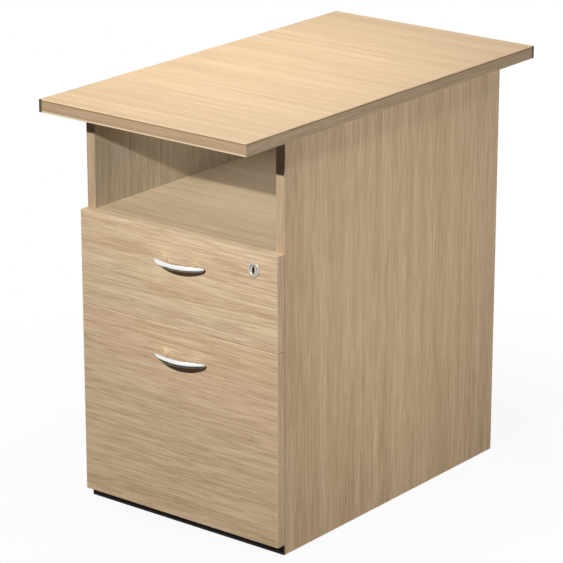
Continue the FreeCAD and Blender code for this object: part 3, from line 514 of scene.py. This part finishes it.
# %% Zinc plate and white paint
ROLLED_ALONG_Y = (1500.0, 18.0, 1500.0)
STEEL = (0.72, 0.72, 0.70)


def zinc_plate(name, base):
    """Bright zinc on sheet steel: soft clouds and rolling lines along the sheet."""
    finish = Finish(name, Metallic=1.0)
    clouds = finish.noise(finish.place(), 60.0, 3.0)
    rolling = finish.noise(finish.stretch(finish.place(), ROLLED_ALONG_Y))
    finish.set(Base_Color=finish.mix(clouds.ramp(0.3, 0.7), shaded(base, 0.82), base),
               Roughness=clouds * 0.18 + rolling * 0.12 + 0.18,
               Normal=finish.bump(rolling, 0.00002, 0.4))
    return finish.material


def powder_coat(name, base):
    """Thick satin paint with a light orange peel."""
    finish = Finish(name, Coat_Weight=0.2, Coat_Roughness=0.2)
    peel = finish.noise(finish.place(), 450.0)
    dust = finish.noise(finish.place(), 14.0, 3.0)
    finish.set(Base_Color=finish.mix(dust.ramp(0.4, 0.75) * 0.5, base, shaded(base, 0.92)),
               Roughness=dust * 0.12 + 0.32, Normal=finish.bump(peel, 0.00004, 0.6))
    return finish.material


dress(zinc_plate("zinc_plate", STEEL), "cam_housings", "cam_bolts", "lower_runner_outer_left",
      "lower_runner_outer_right", "lower_runner_inner_left", "lower_runner_inner_right",
      "runner_middle_members", "outer_ball_cages", "inner_ball_cages", "runner_screws",
      "upper_handle_screws", "lower_handle_screws", "file_rails", "lock_housing", "lock_bar",
      "upper_lock_catch", "lower_lock_catch")
dress(powder_coat("white_coat", colour(228, 228, 223)), "upper_runner_channel_left",
      "upper_runner_channel_right", "upper_runner_rail_left", "upper_runner_rail_right")
print("dressed with the sheet steel", len(dressed), "of", len(nodes))

# %% [markdown]
# ## Nickel, balls and dowels
# The handles are satin nickel and the lock's ring is a darker, duller one.  Fine polishing lines
# break up what both mirror and leave the colour alone.  The runners' balls take the same recipe, only
# smoother.  The dowels stay bare beech, with the short flecks that it is known by.

# %% Nickel, balls and dowels
POLISHED_ALONG_X = (60.0, 1800.0, 1800.0)
SAWN_ALONG_X = (180.0, 900.0, 900.0)
BALL_STEEL = (0.78, 0.78, 0.78)
HANDLE_NICKEL = (0.92, 0.91, 0.88)
LOCK_NICKEL = (0.60, 0.55, 0.48)
LOCK_ROUGHNESS = 0.28


def satin_metal(name, base, roughness):
    """Plated metal with fine polishing lines."""
    finish = Finish(name, Metallic=1.0)
    lines = finish.noise(finish.stretch(finish.place(), POLISHED_ALONG_X), detail=3.0)
    clouds = finish.noise(finish.place(), 40.0)
    finish.set(Base_Color=finish.mix(clouds.ramp(0.35, 0.7), shaded(base, 0.94), base),
               Roughness=lines * 0.12 + roughness, Normal=finish.bump(lines, 0.00001, 0.3))
    return finish.material


def bare_beech(name):
    """Unfinished beech with its short flecks, as dowels are turned from."""
    finish = Finish(name, Specular_IOR_Level=0.3)
    fleck = finish.noise(finish.stretch(finish.place(), SAWN_ALONG_X))
    finish.set(Base_Color=finish.mix(fleck.ramp(0.35, 0.65), colour(204, 166, 122), colour(222, 189, 148)),
               Roughness=fleck * 0.15 + 0.6, Normal=finish.bump(fleck, 0.00008, 0.6))
    return finish.material


handle_metal = satin_metal("satin_nickel", HANDLE_NICKEL, 0.14)
lock_metal = satin_metal("lock_nickel", LOCK_NICKEL, LOCK_ROUGHNESS)
dress(handle_metal, "upper_handle", "lower_handle")
dress(lock_metal, "lock_rosette")
dress(satin_metal("bearing_steel", BALL_STEEL, 0.08), "outer_balls", "inner_balls")
dress(bare_beech("bare_beech"), "dowels")
print("metals", handle_metal.name, lock_metal.name)

# %% [markdown]
# ## Lock face
# The cylinder's face is plated like its ring, with a black oval round the keyway: the keyway's own
# dark, and painted shade round it.  The shutter is too thin to be worth a piece of its own.  It is
# masked in the cylinder's own space, so it turns with the cylinder when the lock is turned.

# %% Lock face
# A black oval round the keyway: the keyway's own dark, and painted shade round it.
DARK_OVAL_WIDTH = 5.2 * MM
DARK_OVAL_HEIGHT = 13.0 * MM
KEYWAY_SHADE_BLACK = (0.01, 0.01, 0.01)


def keyed_face(name, base, roughness, lock):
    """Plated lock face with a black oval round its keyway, the keyway's own dark and painted shade round
    it, upright in the middle: (x / half width)**2 + (z / half height)**2 < 1, on the front half of the
    lock."""
    finish = Finish(name)
    front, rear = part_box(lock)
    across, behind, level = finish.axes()
    beside = (across - (front[0] + rear[0]) / 2) * (2 / DARK_OVAL_WIDTH)
    above = (level - (front[2] + rear[2]) / 2) * (2 / DARK_OVAL_HEIGHT)
    # The black oval: the keyway's own dark and painted shade round it.
    keyway_shade = (beside * beside + above * above < 1.0) * (behind < (front[1] + rear[1]) / 2)
    lines = finish.noise(finish.stretch(finish.place(), POLISHED_ALONG_X), detail=3.0)
    finish.set(Base_Color=finish.mix(keyway_shade, base, KEYWAY_SHADE_BLACK), Metallic=1.0 - keyway_shade,
               Roughness=lines * 0.12 + roughness)
    return finish.material


dress(keyed_face("keyed_nickel", LOCK_NICKEL, LOCK_ROUGHNESS, "lock_cylinder"), "lock_cylinder")
print("still in a flat colour", sorted(set(nodes) - dressed))

# %% [markdown]
# ## Surfaces from formulas
# Every added piece below is a grid of points worked out by a formula and joined into a skin.  The
# faces of any such grid follow from its rows alone: a row that closes round on itself needs no seam,
# and open ends are closed by a fan, so that the faces all look outwards and nothing is left open.

# %% Skins
def add_piece(name, points, faces, body, material):
    """A smooth mesh in the scene, riding on a body, in one of the part's material slots."""
    mesh = bpy.data.meshes.new(name)
    mesh.from_pydata(points.reshape(-1, 3).tolist(), [], faces)
    mesh.polygons.foreach_set("use_smooth", np.full(len(mesh.polygons), True))
    mesh.materials.append(material)
    piece = bpy.data.objects.new(name, mesh)
    bpy.context.scene.collection.objects.link(piece)
    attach(piece, body)
    return piece


def walls_between(rows, around, closed):
    """Four-sided faces between neighbouring rows of a grid whose rows close round on themselves;
    'closed' also joins the last row to the first."""
    row, place = np.meshgrid(np.arange(rows if closed else rows - 1), np.arange(around), indexing="ij")
    next_row, beside = (row + 1) % rows, (place + 1) % around
    return np.stack([row * around + place, row * around + beside,
                     next_row * around + beside, next_row * around + place], axis=-1).reshape(-1, 4)


def skin(name, rings, body, material):
    """A closed piece from rings of points, rings[i, j] being point j of ring i, all run the same way
    round.  The ends are closed on the average point of the first and the last ring."""
    count, around = rings.shape[:2]
    ends = np.array([rings[0].mean(axis=0), rings[-1].mean(axis=0)])
    points = np.concatenate([rings.reshape(-1, 3), ends])
    edge = np.arange(around)
    after = (edge + 1) % around
    last = (count - 1) * around
    first_cap = np.stack([np.full(around, count * around), after, edge], axis=-1)
    last_cap = np.stack([np.full(around, count * around + 1), last + edge, last + after], axis=-1)
    faces = walls_between(count, around, False).tolist() + first_cap.tolist() + last_cap.tolist()
    return add_piece(name, points, faces, body, material)


def superellipse(count, power):
    """Points (c, s) round a rounded rectangle of half-sizes 1: |c|**power + |s|**power = 1."""
    angle = np.linspace(0.0, 2 * np.pi, count, endpoint=False)
    c, s = np.cos(angle), np.sin(angle)
    return np.sign(c) * np.abs(c) ** (2 / power), np.sign(s) * np.abs(s) ** (2 / power)


print("a skin of 3 rows of 4 has", len(walls_between(3, 4, False)), "walls")

# %% [markdown]
# ## Bow handles
# The handles are die-cast crescents, plated satin: widest in the middle of the bow and drawn out to
# blunt tips that stop just short of the drawer front, on two short posts.  The casting has no sharp
# corner, so the piece is a rounded section swept along the crescent between two circular arcs.

# %% Handles
BOW_WIDTH = 8 * MM
TIP_WIDTH = 4 * MM
TIP_GAP = 4 * MM
TIP_HEIGHT = 7 * MM
TIP_ROUNDING = 5 * MM
TIP_LEAST = 0.04                # share of the section that is left at the very tip
POST_PITCH = 64 * MM
POST_WIDTH = 9 * MM
POST_HEIGHT = 7 * MM
POST_FLARE = 1.2 * MM


def arc_depth(x, half, depth):
    """Depth at x of a circular arc, 'depth' deep in the middle and 0 at plus or minus half:
    sqrt(r**2 - x**2) less its value at half, with r = (half**2 + depth**2) / (2 depth)."""
    radius = (half ** 2 + depth ** 2) / (2 * depth)
    return np.sqrt(radius ** 2 - x ** 2) - (radius - depth)


def bow_sides(x, half, prow):
    """How far the outer and the inner side of the bow stand off the drawer front at x."""
    tip_out = TIP_GAP + TIP_WIDTH
    outer = tip_out + arc_depth(x, half, prow - tip_out)
    inner = TIP_GAP + arc_depth(x, half, prow - BOW_WIDTH - TIP_GAP)
    return outer, inner


def bow_handle(name, body):
    """Ellipse-like sections across the bow at x = half sin(t pi/2), which crowds them at the tips,
    where they shrink along a quarter circle; and two posts.  The bow stands in for the plainer
    handle of the frame."""
    front, rear = (np.array(corner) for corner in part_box(name))
    half, _, tall = (rear - front) / 2
    centre, _, level = (rear + front) / 2
    face = rear[1]
    prow = face - front[1]
    t = np.linspace(-1.0, 1.0, 73)
    x = half * np.sin(t * np.pi / 2)
    outer, inner = bow_sides(x, half, prow)
    taper = np.clip((half - np.abs(x)) / TIP_ROUNDING, 0.0, 1.0)
    taper = np.sqrt(1.0 - (1.0 - taper) ** 2) * (1.0 - TIP_LEAST) + TIP_LEAST
    width = (outer - inner) / 2 * taper
    height = (TIP_HEIGHT / 2 + arc_depth(x, half, tall - TIP_HEIGHT / 2)) * taper
    c, s = superellipse(28, 2.3)
    rings = np.empty((len(x), len(c), 3))
    rings[:, :, 0] = centre + x[:, None]
    rings[:, :, 1] = face - ((outer + inner) / 2)[:, None] + width[:, None] * c
    rings[:, :, 2] = level + height[:, None] * s
    bow = skin(name + "_bow", rings, body, handle_metal)
    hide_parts(name)
    reach = sum(bow_sides(POST_PITCH / 2, half, prow)) / 2
    return [bow] + [handle_post(f"{name}_post_{place}", body, centre + way * POST_PITCH / 2, face,
                                level, reach) for place, way in enumerate((-1, 1))]


def handle_post(name, body, x, face, level, reach):
    """A post that ends in the middle of the bow.  Its foot flares where it meets the drawer front:
    half width w(u) = w0 + flare (1-u)**3, u running from the foot to the bow."""
    u = np.linspace(0.0, 1.0, 14)
    spread = POST_FLARE * (1.0 - u) ** 3
    c, s = superellipse(24, 3.2)
    rings = np.empty((len(u), len(c), 3))
    rings[:, :, 0] = x + (POST_WIDTH / 2 - POST_FLARE / 2 + spread)[:, None] * c
    rings[:, :, 1] = (face - reach * u)[:, None]
    rings[:, :, 2] = level + (POST_HEIGHT / 2 + spread * 0.6)[:, None] * s
    return skin(name, rings, body, handle_metal)


for drawer in ("upper", "lower"):
    print([piece.name for piece in bow_handle(f"{drawer}_handle", f"{drawer}_drawer")])

# %% [markdown]
# ## Lock rosette
# The ring round the lock is a small turned part, pressed on: flat on the drawer front, with a rim so
# softly rounded that it always catches a line of light.  A closed outline in the plane of radius
# and depth is carried once round the lock's axis, so the ring has no ends that need closing.

# %% Lock rosette
RING_BORE = 7.9 * MM


def turned_ring(name, radius, depth, centre, body, material, turns=96):
    """A closed outline (radius[i], depth[i]) turned round the Y axis through centre: the point at
    angle a is centre + (radius cos a, -depth, radius sin a)."""
    angle = np.linspace(0.0, 2 * np.pi, turns, endpoint=False)[:, None]
    rows = np.stack([centre[0] + radius * np.cos(angle), centre[1] - depth + 0.0 * angle,
                     centre[2] + radius * np.sin(angle)], axis=-1)
    faces = walls_between(turns, len(radius), True)[:, ::-1]
    return add_piece(name, rows, faces.tolist(), body, material)


ring_front, ring_rear = (np.array(corner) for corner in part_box("lock_rosette"))
ring_out, ring_proud, _ = (ring_rear - ring_front) / 2
ring_x, _, ring_z = (ring_rear + ring_front) / 2
c, s = superellipse(28, 3.4)
ring = turned_ring("lock_rosette_ring", (ring_out + RING_BORE) / 2 + (ring_out - RING_BORE) / 2 * c,
                   ring_proud * (1.0 + s), (ring_x, ring_rear[1], ring_z), "upper_drawer",
                   lock_metal)
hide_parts("lock_rosette")
print(ring.name, len(ring.data.polygons), "faces")

# %% [markdown]
# ## The floor and a dark card
# The cabinet stands on pale paper, which shows only round its feet and then gives way to the plain
# white behind it.  A dark card lies just under the paper, for the metal only: a bright bow needs
# something dark to be bright against.  No other ray than a mirrored one sees the card, and mirrored
# rays don't see the paper.

# %% Floor and card
PAPER_HALF = 9.0
PAPER_SHOW = 0.09               # how much of the lit paper shows over the white behind it
PAPER_FADE = (0.42, 1.05)       # from the middle, where the paper begins to go and is gone
CARD_HALF = 0.8
CARD_REACH = 0.55
CARD_LEVEL = -2 * MM


def flat_sheet(name, x_half, y_near, y_far, level, material):
    """One level rectangle, facing up, that belongs to the stage."""
    mesh = bpy.data.meshes.new(name)
    mesh.from_pydata([(-x_half, y_near, level), (x_half, y_near, level),
                      (x_half, y_far, level), (-x_half, y_far, level)], [], [(0, 1, 2, 3)])
    mesh.materials.append(material)
    sheet = bpy.data.objects.new(name, mesh)
    bpy.context.scene.collection.objects.link(sheet)
    return sheet


def mottled(name, scale, first, second, **constants):
    """Plain paper or card that is nowhere quite even."""
    finish = Finish(name, **constants)
    finish.set(Base_Color=finish.mix(finish.noise(finish.place(), scale), first, second))
    return finish


paper = mottled("floor_paper", 3.0, (0.74, 0.74, 0.74), (0.76, 0.76, 0.76),
                Roughness=0.9, Specular_IOR_Level=0.1)
paper_x, paper_y, _ = paper.axes()
gone = ((paper_x * paper_x + paper_y * paper_y) ** 0.5).ramp(*PAPER_FADE)
clear = paper.node("ShaderNodeBsdfTransparent")
shown = paper.node("ShaderNodeMixShader", {}, {0: (1.0 - gone) * PAPER_SHOW, 1: clear,
                                               2: Wire(paper, paper.shader.outputs[0])})
paper.feed(paper.tree.nodes["Material Output"].inputs["Surface"], shown)
floor = flat_sheet("floor", PAPER_HALF, -PAPER_HALF, PAPER_HALF, 0.0, paper.material)
floor.visible_glossy = False

card_paint = mottled("flag_paint", 2.0, (0.05, 0.05, 0.05), (0.06, 0.06, 0.06),
                     Roughness=1.0, Specular_IOR_Level=0.0)
card = flat_sheet("dark_floor", CARD_HALF, low.y - CARD_REACH, high.y + CARD_REACH, CARD_LEVEL,
                  card_paint.material)
for ray in ("camera", "diffuse", "transmission", "volume_scatter", "shadow"):
    setattr(card, "visible_" + ray, False)
print("stage", floor.name, card.name)

# %% [markdown]
# ## White behind everything
# The background is plain white, which the eye, polished metal and clear things see.  Matt faces
# don't: for them it is almost black, so it leaves the shadows alone.

# %% Background
WHITE = (1.0, 1.0, 1.0)
WORLD_SOFT = 0.02

world = bpy.data.worlds.new("studio")
world.use_nodes = True
world.node_tree.nodes.clear()
scene.world = world
sky = Tree(world.node_tree)
out = sky.tree.nodes.new("ShaderNodeOutputWorld")
ray = sky.node("ShaderNodeLightPath", output="Is Camera Ray")
seen = ray.largest(ray.beside("Is Glossy Ray").largest(ray.beside("Is Transmission Ray")))
soft = sky.node("ShaderNodeBackground", {}, {"Color": WHITE, "Strength": WORLD_SOFT})
white = sky.node("ShaderNodeBackground", {}, {"Color": WHITE, "Strength": 1.0})
sky.feed(out.inputs["Surface"], sky.node("ShaderNodeMixShader", {}, {0: seen, 1: soft, 2: white}))
print("background", len(sky.tree.nodes), "nodes")

# %% [markdown]
# ## Light
# Six lamps do different work.  A small key lamp high in front throws the crisp shadow of the
# overhanging top into the open compartment, which is what makes that space read as deep.  A soft
# lamp above makes the top the brightest face, another at the right lifts the side panel, two more do
# the same for the left and the back, and a weak cool one hidden under the top opens the shadows in
# the compartment against the warm light that the oak throws back.

# %% Lamps
KEY_WAY = Vector((0.2, -1.0, 0.535)).normalized()
KEY_DISTANCE = 2.1
INSIDE_TINT = (0.90, 1.01, 1.08)
INSIDE_DROP = 10 * MM
top_face = high.z
under_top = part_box("top_panel")[0][2]
shade_edge = Vector((0.0, low.y, under_top))


def area_lamp(name, place, aim, size, power):
    """A square soft lamp of that side in metres and that power in watts, turned towards aim."""
    lamp = bpy.data.lights.new(name, "AREA")
    lamp.shape = "SQUARE"
    lamp.size = size
    lamp.energy = power
    holder = bpy.data.objects.new(name, lamp)
    holder.location = place
    holder.rotation_euler = (Vector(place) - Vector(aim)).to_track_quat("Z", "Y").to_euler()
    bpy.context.scene.collection.objects.link(holder)
    return holder


area_lamp("key", shade_edge + KEY_WAY * KEY_DISTANCE, shade_edge, 0.05, 60.0)
area_lamp("above", (-0.18, 0.08, top_face + 0.78), (-0.08, 0.08, top_face), 0.6, 7.3)
area_lamp("side", (1.3, -0.02, 0.42), (0.2, -0.02, 0.39), 0.6, 7.9)
area_lamp("left", (-1.6, 0.1, 0.40), (-0.2, 0.05, 0.38), 0.5, 9.0)
area_lamp("behind", (-0.1, 1.9, 0.40), (0.0, 0.3, 0.38), 0.5, 9.0)
inside = area_lamp("inside", (0.0, -0.02, under_top - INSIDE_DROP), (0.0, -0.02, 0.0), 0.34, 0.24)
inside.data.color = INSIDE_TINT
inside.visible_camera = False
inside.visible_glossy = False
print("lamps", [light.name for light in bpy.data.lights])

# %% [markdown]
# ## The frame's box
# The frame's box was measured before anything was added.  The dressed model's box should be the
# same, because the bows and the ring stay inside the overhang of the top.
